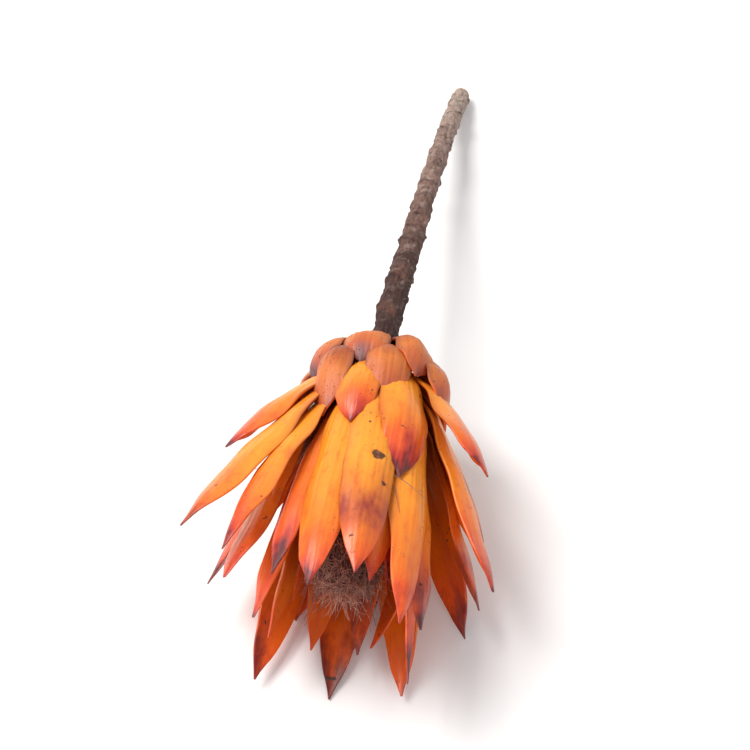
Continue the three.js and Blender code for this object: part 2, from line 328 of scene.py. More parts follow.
# Two sets of ribs, so that they don't look ruled: share of the height, rate across the bract,
# offset, sideways sway and how fast it sways.
RIB_SETS = ((1.0, 2.0, 1.0, 1.5, 3), (0.8, 1.31, 2.1, 2.0, 5))
INNER_RIBS = 0.3  # ribs are this much as high on the inner face
DENT_HEIGHT = 0.5 * MM
DENT_WIDTH = 3.2 * MM
DENT_LENGTH = 9 * MM
WAVE_HEIGHT = 0.45 * MM
WAVE_RATE = 17
FULLNESS = 0.9 * MM


def dried_relief(lay, phase):
    """How far ribs, dents, waves and the full middle of the blade move each corner."""
    u, v = lay.u, lay.v
    ribs = sum(
        share * np.sin(v / RIB_WIDTH * rate * math.pi + offset * phase + sway * np.sin(u * bends + phase))
        for share, rate, offset, sway, bends in RIB_SETS
    )
    fade = np.sin(np.clip(u * 1.1, 0, 1) * math.pi) ** 0.5
    ribbed = ribs * RIB_HEIGHT * (INNER_RIBS + (1 - INNER_RIBS) * lay.outer) * fade
    wave = np.sin(u * WAVE_RATE + phase + np.sign(v)) * lay.width ** 2 * WAVE_HEIGHT
    dents = np.array([
        noise.noise(Vector((a / DENT_WIDTH + phase, b / DENT_LENGTH, phase)))
        for a, b in zip(v, u * lay.length)
    ])
    fullness = FULLNESS * lay.outer * (1 - lay.width ** 2) * np.sin(u * math.pi)
    bowed = (dents * DENT_HEIGHT + wave) * np.clip(u * 3, 0, 1) + fullness
    return lay.facing * ribbed[:, None] + lay.outward * bowed[:, None]


# %% [markdown]
# The solids keep clear of each other, so they are a little slimmer and blunter than real bracts,
# and the scales at the base stand off what they lie on. Three more rules put that right: the
# middle of each blade swells sideways, its last tenth narrows to a point, and each scale turns
# down about its root until it lies on the bracts below. Where a bract is near the table, its
# corners may move up but not down.

# %% Fuller blades, sharper tips and pressed scales
SWELL_REACH = 0.85
TIP_START = 0.9
TIP_NARROWING = 0.62
TIP_POWER = 1.5
FLOOR_CLEAR = 0.8 * MM  # no rule moves a corner down below this height
FLOOR_FADE = 3 * MM
PRESS_RATE = 1.6  # the turn is complete at 1 / 1.6 of the length


def outline_shift(lay, swell):
    fuller = swell * np.sin(lay.u * math.pi * SWELL_REACH)
    to_tip = np.clip((lay.u - TIP_START) / (1 - TIP_START), 0, 1)
    return lay.side * (lay.v * (fuller - TIP_NARROWING * to_tip ** TIP_POWER))[:, None]


def kept_above_table(lay, shift):
    low = np.clip((lay.points[:, 2] - cad_box[0][2] - FLOOR_CLEAR) / FLOOR_FADE, 0, 1)
    shift[:, 2] = np.where(shift[:, 2] < 0, shift[:, 2] * low, shift[:, 2])
    return shift


def pressed_down(lay, moved, degrees):
    """The corners turned about the bract's root, inwards to what lies below it."""
    press = math.radians(degrees) * np.clip(lay.u * PRESS_RATE, 0, 1)
    arm = moved - lay.root
    ahead = arm @ lay.run
    above_root = arm @ lay.outward
    moved = moved + np.outer(ahead * (np.cos(press) - 1) + above_root * np.sin(press), lay.run)
    return moved + np.outer(above_root * (np.cos(press) - 1) - ahead * np.sin(press), lay.outward)


# %% [markdown]
# Old bracts are marked: some have a purple band, some a rotten tip, and some a scar where insects
# or rubbing tore the skin. The marks are listed by bract, because they follow no rule. A scar is a
# shallow pit with a raised lip and a ragged edge. The mesh gets the pit and the lip, so that they
# catch the light, and the same numbers are stored for the material, so that the brown of the scar
# lies exactly in its pit.

# %% Marks of age
BAND_WIDTH = 0.09
# Some bracts have a purple band at that share of their length, and some a rotten tip.
MARKS = {
    "goblet_bract_01": (0.76, 0.0),
    "outer_bract_01": (None, 0.15),
    "goblet_bract_08": (None, 0.75),
    "outer_bract_06": (None, 0.55),
    "outer_bract_04": (0.8, 0.6),
    "short_bract_04": (0.7, 0.6),
    "long_bract_05": (0.75, 0.3),
    "goblet_bract_05": (0.72, 0.4),
    "short_bract_06": (0.75, 0.2),
    "outer_bract_03": (0.85, 0.4),
}
# Bracts with room beside them are plumper by that share of their width.
PLUMP = {
    "goblet_bract_08": 0.3,
    "short_bract_08": 0.32,
    "outer_bract_08": 0.22,
    "outer_bract_09": 0.25,
    "short_bract_03": 0.28,
    "goblet_bract_03": 0.25,
}
# Torn scars: share of the length, millimetres from the middle line, and size in millimetres.
TEARS = {
    "goblet_bract_01": ((0.52, 0.8, 1.7), (0.63, 2.8, 0.7)),
    "short_bract_03": ((0.42, -0.6, 0.7),),
    "outer_bract_06": ((0.93, 0.4, 1.4), (0.8, -1.2, 0.8), (0.72, 1.6, 0.5)),
    "goblet_bract_05": ((0.35, -1.8, 1.1),),
    "short_bract_06": ((0.5, 1.5, 1.0),),
    "outer_bract_07": ((0.6, 1.2, 0.6),),
    "goblet_bract_08": ((0.55, -2.0, 0.5),),
    "base_scale_04": ((0.5, 1.4, 1.0),),
    "collar_scale_05": ((0.55, -1.5, 1.1),),
}
TEAR_SQUEEZE = 1.4  # a tear is that much shorter than it is wide
RAGGED = 0.5
RAG_SIZE = 1.1 * MM
TEAR_EDGE = 2.6  # how sharply a tear begins
TEAR_DEPTH = 0.3 * MM
LIP_WIDTH = 0.22
LIP_HEIGHT = 0.18 * MM


def torn_scars(lay, moved, node):
    """The corners with each tear's pit and lip, and how torn each corner is."""
    torn = np.zeros(len(moved))
    for at_u, at_v, size in TEARS.get(node, ()):
        distance = np.hypot(lay.v - at_v * MM, (lay.u - at_u) * lay.length * TEAR_SQUEEZE) / (size * MM)
        distance += RAGGED * np.array([noise.noise(Vector(p / RAG_SIZE)) for p in lay.points])
        torn = np.maximum(torn, np.clip(TEAR_EDGE * (1 - distance), 0, 1))
        lip = np.exp(-((distance - 1) / LIP_WIDTH) ** 2) * LIP_HEIGHT
        moved = moved + lay.outward * ((lip - torn * TEAR_DEPTH) * lay.outer)[:, None]
    return moved, torn * lay.outer


# %% Shape one bract
RIM_ANGLE = math.radians(45)
RIM_CREASE = 0.45
SEED_SPREAD = 40


def rounded_copy(node, levels):
    """The bract's copy, smoothed, with its sharp rim creased so that its outline stays."""
    piece = merged_copy(node, node + "_dried")
    bpy.ops.object.mode_set(mode="EDIT")
    bpy.ops.mesh.select_mode(type="EDGE")
    bpy.ops.mesh.select_all(action="DESELECT")
    bpy.ops.mesh.edges_select_sharp(sharpness=RIM_ANGLE)
    bpy.ops.transform.edge_crease(value=RIM_CREASE)
    bpy.ops.object.mode_set(mode="OBJECT")
    return subdivided(piece, levels)


def make_bract(node, levels, swell, pressed, rng):
    piece = rounded_copy(node, levels)
    lay = bract_layout(piece.data)
    seed = rng.random()
    shift = dried_relief(lay, seed * SEED_SPREAD) + outline_shift(lay, swell + PLUMP.get(node, 0))
    moved = pressed_down(lay, lay.points + kept_above_table(lay, shift), pressed)
    moved, torn = torn_scars(lay, moved, node)
    moved[:, 2] = np.maximum(moved[:, 2], cad_box[0][2])
    piece.data.vertices.foreach_set("co", moved.ravel())
    band, rot = MARKS.get(node, (None, 0))
    purple = np.exp(-((lay.u - band) / BAND_WIDTH) ** 2) if band else np.zeros(len(moved))
    store(piece.data, "bract_place", np.stack([lay.v / MM, lay.u * lay.length / MM, lay.u], axis=1))
    store(piece.data, "bract_outer", lay.outer)
    store(piece.data, "bract_seed", np.full(len(moved), seed))
    store(piece.data, "bract_margin", lay.width)
    store(piece.data, "bract_band", purple)
    store(piece.data, "bract_torn", torn)
    store(piece.data, "bract_rot", np.full(len(moved), rot))
    piece.data.update()
    hand_in(piece, node)
    return piece


# %% Shape them all
rng = random.Random(7)
# For each kind: material slot, levels of smoothing, sideways swell and degrees pressed down.
KINDS = {
    "goblet_bract": ("bract", 3, 0.15, 0),
    "short_bract": ("bract", 3, 0.12, 0),
    "outer_bract": ("bract", 3, 0.14, 0),
    "long_bract": ("inner_bract", 3, 0.06, 0),
    "inner_bract": ("inner_bract", 2, 0.0, 0),
    "base_scale": ("scale", 3, 0.2, 7),
    "collar_scale": ("scale", 3, 0.2, 10),
}


def kind_of(node):
    return node.rsplit("_", 1)[0]


bracts = {}
for node in sorted(nodes):
    if kind_of(node) in KINDS:
        slot, levels, swell, pressed = KINDS[kind_of(node)]
        bracts[node] = make_bract(node, levels, swell, pressed, rng)
print(len(bracts), "bracts,", sum(len(b.data.polygons) for b in bracts.values()) * 2, "triangles")

# %% [markdown]
# ## The stem
#
# The stem is woody, with rough bark and low scars in a spiral, where its leaves sat. Bump in the
# material alone would leave its outline too clean, so the smoothed copy's corners are moved: by
# three layers of noise for the bark, and by a small mound at each leaf scar. The stem is bent, so
# its middle is found slice by slice, and the direction round it is measured from there.

# %% Find the stem's middle line
SLICES = 60
SLICE_MARGIN = 0.001 * MM
NECK_LENGTH = 9 * MM  # the swollen end of the stem, behind the base of the head

stem = subdivided(merged_copy("stem", "stem_bark"), 3)
points = per_corner(stem.data, "co")
facing = per_corner(stem.data, "normal")
station = points[:, 1]
cut_y = station.max()
neck_y = (BASE - AXIS * NECK_LENGTH).y
slices = np.digitize(station, np.linspace(station.min() - SLICE_MARGIN, cut_y + SLICE_MARGIN, SLICES))
middle = {b: points[slices == b].mean(axis=0) for b in set(slices)}
radial = points - np.array([middle[b] for b in slices])
turn = np.arctan2(radial[:, 0], radial[:, 2])
along_stem = np.clip((station - neck_y) / (cut_y - neck_y), 0, 1)
print("stem", round((cut_y - neck_y) / MM), "mm long behind the head")

# %% Raise the leaf scars
SCARS = 34
SCAR_HEIGHT = 0.62 * MM
SCAR_SIZE = 1.6 * MM
SCAR_SQUEEZE = 1.3  # along the stem
SCAR_SPREAD = 0.8  # round the stem
STEM_RADIUS = 2.5 * MM
GOLDEN_ANGLE = 137.5

lift = np.zeros(len(points))
scar_mask = np.zeros(len(points))
for i in range(SCARS):
    at_y = neck_y + (cut_y - neck_y) * (i + 0.6 + 0.3 * rng.random()) / SCARS
    at_turn = math.radians(GOLDEN_ANGLE * i + 25 * rng.random())
    around = np.angle(np.exp(1j * (turn - at_turn))) * STEM_RADIUS
    distance = np.hypot((station - at_y) * SCAR_SQUEEZE, around * SCAR_SPREAD) / SCAR_SIZE
    lift += SCAR_HEIGHT * np.exp(-2.2 * distance ** 2) * (0.6 + 0.6 * rng.random())
    scar_mask = np.maximum(scar_mask, np.exp(-5 * distance ** 2))
print(SCARS, "leaf scars, up to", round(lift.max() / MM, 2), "mm high")

# %% Roughen the bark
BARK_HEIGHT = 0.42 * MM
# Layers of bark: share of the height, and their grain across and along the stem in millimetres.
BARK_LAYERS = ((1.0, 0.9, 1.8), (0.5, 0.4, 0.9), (1.2, 3, 5))
BARE_END = 6 * MM  # the end inside the head has no bark from here on
CUT_EDGE = 1.2 * MM  # the sawn face and its edge stay flat
CUT_BLEND = 1 * MM

bark = sum(
    share * np.array([
        noise.noise(Vector((p[0] / across, p[1] / along, p[2] / across)) / MM) for p in points
    ])
    for share, across, along in BARK_LAYERS
)
lift += bark * BARK_HEIGHT * np.where(station < neck_y - BARE_END, 0, 1)
on_cut = np.clip((station - cut_y + CUT_EDGE) / CUT_BLEND, 0, 1)
moved = points + facing * (lift * (1 - on_cut))[:, None]
moved[:, 2] = np.maximum(moved[:, 2], cad_box[0][2])
moved[:, 1] = np.minimum(moved[:, 1], cad_box[1][1])
stem.data.vertices.foreach_set("co", moved.ravel())
store(stem.data, "stem_place", np.stack([turn, (station - neck_y) / MM, along_stem], axis=1))
store(stem.data, "stem_scar", scar_mask)
store(stem.data, "stem_cut", on_cut)
stem.data.update()
hand_in(stem, "stem")
print("bark on", len(points), "corners")

# %% [markdown]
# ## The florets
#
# Inside the bracts is a cone of florets. Dried, it ends in a frizzy tuft of pinkish brown hairs
# and thin styles. The cone's solid is kept below as a core, roughened and drawn in a little, and
# painted dark as painted shade in the gaps between the hairs.
# Out of it grow long stiff styles along its side, and short curled hairs in clumps over its end.
# Hair curves would be easier, but they are lost when the model is exported, so the hairs are a
# real mesh.

# %% Shape the cone
CORE_GRAIN = 0.9 * MM
CORE_ROUGH = 0.5 * MM
CORE_DRAWN_IN = 0.9  # as a share of the roughness

cone_piece = subdivided(merged_copy("florets", "floret_cone"), 3)
points = per_corner(cone_piece.data, "co")
facing = per_corner(cone_piece.data, "normal")
rough = np.array([noise.noise(Vector(p / CORE_GRAIN)) for p in points])
points = points + facing * ((rough - CORE_DRAWN_IN) * CORE_ROUGH)[:, None]
cone_piece.data.vertices.foreach_set("co", points.ravel())
cone_piece.data.update()
hand_in(cone_piece, "florets")
print("cone of", len(points), "corners")

# %% [markdown]
# A hair repeats about 1500 times, so it is modelled once and has few faces: a three-sided rod,
# bisected into short lengths. Each copy is then bent along a path of its own and tapered towards
# its end. All copies go into one mesh, because 1500 separate objects would only slow the scene.


# %% Model one straight hair
def straight_hair(steps):
    """A three-sided rod of radius 1, cut into that many lengths of 1: its corners and faces."""
    deselect_all()
    bpy.ops.mesh.primitive_cylinder_add(
        vertices=3, radius=1, depth=steps, end_fill_type="NGON", location=(0, 0, steps / 2)
    )
    rod = bpy.context.object
    bpy.ops.object.transform_apply(location=True)
    bpy.ops.object.mode_set(mode="EDIT")
    for cut_at in range(1, steps):
        bpy.ops.mesh.select_all(action="SELECT")
        bpy.ops.mesh.bisect(plane_co=(0, 0, cut_at), plane_no=(0, 0, 1))
    bpy.ops.object.mode_set(mode="OBJECT")
    rod_corners = [corner.co.copy() for corner in rod.data.vertices]
    rod_faces = [tuple(face.vertices) for face in rod.data.polygons]
    bpy.ops.object.delete()
    return rod_corners, rod_faces


# %% Copy it along many paths
HAIR_TAPER = 0.75  # a hair is that much thinner at its end


def path_frames(path):
    """Each point of the path, with two directions across it."""
    frames = []
    for i, point in enumerate(path):
        ahead = (path[min(i + 1, len(path) - 1)] - path[max(i - 1, 0)]).normalized()
        across = ahead.orthogonal().normalized()
        frames.append((point, across, ahead.cross(across)))
    return frames


def hair_mesh(name, strands):
    """Each strand is (path, radius, tone): the straight hair is bent along the path and tapered."""
    verts, faces, shades, tones = [], [], [], []
    rods = {}
    for path, radius, tone in strands:
        steps = len(path) - 1
        if steps not in rods:
            rods[steps] = straight_hair(steps)
        rod_corners, rod_faces = rods[steps]
        frames = path_frames(path)
        start = len(verts)
        for corner in rod_corners:
            i = round(corner.z)
            point, across, up = frames[i]
            size = radius * (1 - HAIR_TAPER * i / steps)
            verts.append(point + (across * corner.x + up * corner.y) * size)
            shades.append(i / steps)
            tones.append(tone)
        faces.extend(tuple(start + k for k in face) for face in rod_faces)
    mesh = bpy.data.meshes.new(name)
    mesh.from_pydata(verts, [], faces)
    piece = bpy.data.objects.new(name, mesh)
    bpy.context.scene.collection.objects.link(piece)
    store(mesh, "hair_along", shades)
    store(mesh, "hair_tone", tones)
    hand_in(piece)
    print(name, len(strands), "hairs,", len(faces), "faces")
    return piece


# %% Let a path wander
JITTER_SHARE = 0.7


def random_vector(rng, reach):
    return Vector([rng.uniform(-reach, reach) for _ in range(3)])


def wandering_path(start, heading, length, steps, curl, rng):
    """A path that keeps its heading but curls at random."""
    path = [start.copy()]
    heading = heading.normalized()
    swirl = random_vector(rng, 1)
    for _ in range(steps):
        jitter = random_vector(rng, 1)
        heading = (heading + swirl * curl + jitter * curl * JITTER_SHARE).normalized()
        path.append(path[-1] + heading * (length / steps))
    return path


# %% Grow the styles
STYLES = 520
STYLE_STEPS = 6
STYLE_CURL = 0.06
STYLE_RADIUS = 0.16 * MM
CONE_RADIUS = 6.6 * MM

hair_rng = random.Random(21)
styles = []
for _ in range(STYLES):
    turn_deg = hair_rng.uniform(0, 360)
    start_along = hair_rng.uniform(20, 46) * MM
    start = on_flower(turn_deg, start_along, CONE_RADIUS * hair_rng.uniform(0.75, 0.95))
    outwards = on_flower(turn_deg, 0, 1) - on_flower(turn_deg, 0, 0)
    heading = AXIS + outwards * hair_rng.uniform(0.0, 0.16)
    length = hair_rng.uniform(11, 18) * MM
    path = wandering_path(start, heading, length, STYLE_STEPS, STYLE_CURL, hair_rng)
    styles.append((path, STYLE_RADIUS, hair_rng.random()))
print(len(styles), "styles")

# %% Grow the frizz in clumps
CLUMPS = 76
CLUMP_HAIRS = 13
FRIZZ_STEPS = 8
FRIZZ_CURL = 0.5
FRIZZ_TOP = 54.0 * MM  # the middle clumps sit highest on the cone's end
FRIZZ_FALL = 8 * MM
FRIZZ_REACH = 6.3 * MM

frizz = []
for clump in range(CLUMPS):
    turn_deg = GOLDEN_ANGLE * clump + hair_rng.uniform(-12, 12)
    share = math.sqrt((clump + 0.5) / CLUMPS)
    seat = on_flower(turn_deg, FRIZZ_TOP - FRIZZ_FALL * share ** 2.2, FRIZZ_REACH * share)
    outwards = on_flower(turn_deg, 0, 1) - on_flower(turn_deg, 0, 0)
    twist = random_vector(hair_rng, 0.7)
    clump_heading = AXIS * hair_rng.uniform(0.5, 1.3)
    clump_heading = clump_heading + outwards * share * hair_rng.uniform(0.0, 0.9) + twist
    clump_tone = hair_rng.random()
    clump_length = hair_rng.uniform(3.5, 7.5) * MM
    for _ in range(CLUMP_HAIRS):
        heading = clump_heading + random_vector(hair_rng, 0.28)
        start = seat + random_vector(hair_rng, 0.32) * MM
        length = clump_length * hair_rng.uniform(0.6, 1.15)
        path = wandering_path(start, heading, length, FRIZZ_STEPS, FRIZZ_CURL, hair_rng)
        tone = min(max(clump_tone + hair_rng.uniform(-0.3, 0.3), 0), 1)
        frizz.append((path, hair_rng.uniform(0.08, 0.17) * MM, tone))
print(len(frizz), "frizzy hairs")

# %% Add the stray styles and make both meshes
# Loose styles caught between the bracts: azimuth, millimetres along and out from the axis, then
# heading and length in millimetres.
STRAYS = (
    ((28, 36, 17.5), (1.0, -0.55, 0.05), 11),
    ((30, 38, 17.0), (0.3, -1.0, -0.1), 8),
    ((-64, 33, 19.0), (-1.0, -0.25, 0.1), 6),
    ((-66, 36, 19.5), (-1.0, -0.45, 0.05), 5),
    ((140, 40, 20.0), (0.4, -1.0, 0.0), 9),
    ((-150, 45, 18.0), (-0.3, -1.0, -0.1), 8),
)
STRAY_STEPS = 10
STRAY_CURL = 0.05
STRAY_RADIUS = 0.11 * MM
STRAY_TONE = 0.4

for (turn_deg, along, out), heading, length in STRAYS:
    start = on_flower(turn_deg, along * MM, out * MM)
    path = wandering_path(start, Vector(heading), length * MM, STRAY_STEPS, STRAY_CURL, hair_rng)
    styles.append((path, STRAY_RADIUS, STRAY_TONE))
style_hairs = hair_mesh("floret_styles", styles)
frizz_hairs = hair_mesh("floret_frizz", frizz)

# %% [markdown]
# ## Colour and surface
#
# Every colour on the flower is worked out by nodes, from where a point lies on its piece.
# The same few steps come back in every material, such as a mask that begins above a limit or a
# stain mixed into a colour, so they are small functions. Effects that several materials share are
# node groups, built once and placed in each material with its own values.


# %% Helpers for node trees
def new_group(name, inputs, outputs):
    group = bpy.data.node_groups.new(name, "ShaderNodeTree")
    for label, kind, value in inputs:
        socket = group.interface.new_socket(label, in_out="INPUT", socket_type=kind)
        if value is not None:
            socket.default_value = value
    for label in outputs:
        group.interface.new_socket(label, in_out="OUTPUT", socket_type="NodeSocketFloat")
    return group, group.nodes.new("NodeGroupInput"), group.nodes.new("NodeGroupOutput")


def new_skin(name):
    """A new material, its node tree and its shader."""
    material = bpy.data.materials.new(name)
    material.use_nodes = True
    return material, material.node_tree, material.node_tree.nodes["Principled BSDF"]


def add(tree, kind, **settings):
    node = tree.nodes.new(kind)
    for key, value in settings.items():
        setattr(node, key, value)
    return node


def put(tree, node, **values):
    """Sets or links a node's inputs by name or by _number."""
    for key, value in values.items():
        socket = node.inputs[int(key[1:])] if key.startswith("_") else node.inputs[key.replace("_", " ")]
        if isinstance(value, bpy.types.NodeSocket):
            tree.links.new(value, socket)
        else:
            socket.default_value = value
    return node


# %% Helpers for places and patterns
def stored(tree, name, output="Fac"):
    """What the mesh keeps for every corner under that name."""
    return add(tree, "ShaderNodeAttribute", attribute_name=name).outputs[output]


def object_place(tree):
    return add(tree, "ShaderNodeTexCoord").outputs["Object"]


def stretched(tree, where, scale):
    node = put(tree, add(tree, "ShaderNodeMapping"), Vector=where, Scale=scale)
    return node.outputs[0]


def cloudy(tree, where, scale, detail, roughness=0.5):
    """A noise pattern about 0.5, as large as 1 / scale."""
    node = add(tree, "ShaderNodeTexNoise")
    put(tree, node, Vector=where, Scale=scale, Detail=detail, Roughness=roughness)
    return node.outputs["Fac"]


# %% Helpers for masks and colours
def maths(tree, operation, a, b, clamp=False):
    node = add(tree, "ShaderNodeMath", operation=operation, use_clamp=clamp)
    return put(tree, node, _0=a, _1=b).outputs[0]


def above(tree, value, limit, gain):
    """A mask that rises from 0 at the limit to 1, the faster the higher the gain."""
    return maths(tree, "MULTIPLY", maths(tree, "SUBTRACT", value, limit), gain, clamp=True)


def below(tree, value, limit, gain):
    """A mask that rises as the value falls below the limit."""
    return maths(tree, "MULTIPLY", maths(tree, "SUBTRACT", limit, value), gain, clamp=True)


def centred(tree, value, reach):
    """A pattern about 0.5 made to swing about 0, over that reach."""
    return maths(tree, "MULTIPLY", maths(tree, "SUBTRACT", value, 0.5), reach)


def ranged(tree, value, reach, start):
    """start + value * reach"""
    node = add(tree, "ShaderNodeMath", operation="MULTIPLY_ADD")
    return put(tree, node, _0=value, _1=reach, _2=start).outputs[0]


def blend_colour(tree, factor, a, b, mode="MIX"):
    node = add(tree, "ShaderNodeMix", data_type="RGBA", blend_type=mode)
    return put(tree, node, _0=factor, _6=a, _7=b).outputs[2]


def stain(tree, colour, mask, share, tint):
    """The colour, with that share of the tint where the mask is 1."""
    return blend_colour(tree, maths(tree, "MULTIPLY", mask, share), colour, (*tint, 1))


def ramp(tree, factor, stops):
    node = add(tree, "ShaderNodeValToRGB")
    elements = node.color_ramp.elements
    while len(elements) < len(stops):
        elements.new(0.5)
    for element, (place, colour) in zip(elements, stops):
        element.position = place
        element.color = (*colour, 1)
    return put(tree, node, Fac=factor).outputs[0]


def bumped(tree, shader, height, strength, distance):
    bump = add(tree, "ShaderNodeBump")
    put(tree, bump, Strength=strength, Distance=distance, Height=height)
    put(tree, shader, Normal=bump.outputs[0])


def grey(value):
    return (value, value, value)


def rgb(red, green, blue):
    """A colour given as on a colour card, from 0 to 255, in the renderer's linear values."""
    def linear(c):
        c = c / 255
        return c / 12.92 if c <= 0.04045 else ((c + 0.055) / 1.055) ** 2.4
    return (linear(red), linear(green), linear(blue))


# %% [markdown]
# A dried bract is streaked along its length, because its veins run that way. The first group
# stretches noise along the stored root-to-tip place at four widths, and moves it by the bract's
# seed, so that no two bracts carry the same streaks. The second scatters specks and small scars:
# it keeps the middles of Voronoi cells, warped so that they aren't round, and a slow noise picks
# which of them show.

# %% A group for streaks that run along a bract
# Scale across and along the bract, detail, and size of each pattern.
STREAKS = {
    "Broad": ((0.42, 0.035, 0.0), 4.0, 1.0),
    "Fine": ((3.2, 0.12, 0.0), 5.0, 1.0),
    "Blotch": ((0.22, 0.13, 0.0), 5.0, 1.0),
    "Patch": ((0.5, 0.22, 0.0), 6.0, 1.3),
}
SEED_SHIFT = 60.0

streak_group, source, sink = new_group(
    "bract_streaks",
    [("Place", "NodeSocketVector", None), ("Seed", "NodeSocketFloat", 0.0)],
    STREAKS,
)
tree = streak_group
by_seed = maths(tree, "MULTIPLY", source.outputs["Seed"], SEED_SHIFT)
combine = put(tree, add(tree, "ShaderNodeCombineXYZ"), X=by_seed, Y=by_seed, Z=by_seed)
shifted = add(tree, "ShaderNodeVectorMath", operation="ADD")
put(tree, shifted, _0=source.outputs["Place"], _1=combine.outputs[0])
for label, (scale, detail, size) in STREAKS.items():
    pattern = cloudy(tree, stretched(tree, shifted.outputs[0], scale), size, detail, 0.6)
    tree.links.new(pattern, sink.inputs[label])
print("bract_streaks:", ", ".join(STREAKS))

# %% A group for specks and small scars
# Scale of the pattern, and how large a mark is in its cell.
SPECKS = {"Specks": (1500.0, 0.2), "Scars": (330.0, 0.16)}
WARP_SCALE = 1.6
WARP_REACH = 0.9
PICK_SCALE = 0.22

speck_group, source, sink = new_group(
    "dried_specks",
    [("Position", "NodeSocketVector", None), ("Amount", "NodeSocketFloat", 0.5)],
    SPECKS,
)
tree = speck_group
position = source.outputs["Position"]
limit = maths(tree, "SUBTRACT", 0.8, maths(tree, "MULTIPLY", source.outputs["Amount"], 0.4))
for label, (scale, size) in SPECKS.items():
    warp = add(tree, "ShaderNodeTexNoise")
    put(tree, warp, Vector=position, Scale=scale * WARP_SCALE, Detail=3.0)
    bent = add(tree, "ShaderNodeVectorMath", operation="MULTIPLY_ADD")
    put(tree, bent, _0=warp.outputs["Color"], _1=grey(WARP_REACH / scale), _2=position)
    cells = add(tree, "ShaderNodeTexVoronoi", feature="F1")
    put(tree, cells, Vector=bent.outputs[0], Scale=scale)
    dot = below(tree, cells.outputs["Distance"], size, 14.0)
    chosen = above(tree, cloudy(tree, position, scale * PICK_SCALE, 1.0), limit, 12.0)
    tree.links.new(maths(tree, "MULTIPLY", dot, chosen), sink.inputs[label])
print("dried_specks:", ", ".join(SPECKS))


# %% [markdown]
# ## The skin of the bracts
#
# The colour of a bract runs from yellow-orange at the root through orange to a red and then
# purple tip, with a darker first stop at the very root that is painted shade where the bracts
# overlap. A ramp over the place from root to tip gives that. The place is first shifted by the
# bract's seed and by the streaks, so that the bands of colour end in fingers and not in straight
# lines. Each stain is then mixed over it: pale and dark veins, blotches, the purple band, the
# rotten tip, the thin dark margin, partly a brown rim and partly painted shade along the edges,
# and last the specks and torn scars.


# %% Age and stain a bract's colour
def bract_age(tree, streaks):
    """0 at the root to 1 at the tip, shifted by the bract's seed and wandering with its streaks."""
    split = put(tree, add(tree, "ShaderNodeSeparateXYZ"), _0=stored(tree, "bract_place", "Vector"))
    wandering = centred(tree, streaks["Blotch"], 0.42)
    streaky = centred(tree, streaks["Broad"], 0.32)
    own = centred(tree, stored(tree, "bract_seed"), 0.2)
    placed = maths(tree, "ADD", split.outputs["Z"], wandering)
    return maths(tree, "ADD", placed, maths(tree, "ADD", own, streaky))


def stained_bract(tree, colour, age, streaks, vein, margin):
    """The colour with veins, blotches, purple band, rotten tip and a dark margin that is partly a brown
    rim and partly painted shade.
    """
    colour = stain(tree, colour, above(tree, streaks["Fine"], 0.52, 2.0), 0.2, vein)
    colour = stain(tree, colour, below(tree, streaks["Fine"], 0.38, 4.0), 0.45, rgb(150, 52, 18))
    colour = stain(tree, colour, above(tree, streaks["Patch"], 0.54, 7.0), 0.42, rgb(206, 78, 34))
    uneven = maths(tree, "MULTIPLY", streaks["Patch"], 1.5)
    banded = maths(tree, "MULTIPLY", stored(tree, "bract_band"), uneven, clamp=True)
    colour = blend_colour(tree, banded, colour, (*rgb(146, 48, 44), 1))
    rot = stored(tree, "bract_rot")
    aged = maths(tree, "ADD", age, maths(tree, "MULTIPLY", rot, 0.16))
    rotten = maths(tree, "MULTIPLY", above(tree, aged, 0.9, 8.0), rot)
    colour = blend_colour(tree, rotten, colour, (*rgb(52, 22, 26), 1))
    # The dark margin is partly a brown rim and partly painted shade along the bract's edges.
    rim = maths(tree, "POWER", stored(tree, "bract_margin"), 9.0)
    rim = maths(tree, "MULTIPLY", rim, maths(tree, "ADD", streaks["Blotch"], 0.25), clamp=True)
    return blend_colour(tree, rim, colour, (*margin, 1))


def dead_skin(tree, where, specks):
    """A mask of specks and torn scars, and the brown that they have."""
    frayed = cloudy(tree, where, 1100.0, 4.0, 0.65)
    healed = above(tree, maths(tree, "ADD", stored(tree, "bract_torn"), frayed), 1.0, 6.0)
    marks = maths(tree, "MAXIMUM", specks["Specks"], specks["Scars"])
    marks = maths(tree, "MAXIMUM", marks, healed)
    browns = [(0.35, rgb(40, 24, 20)), (0.55, rgb(66, 40, 32)), (0.68, rgb(128, 82, 58))]
    return marks, ramp(tree, frayed, browns)


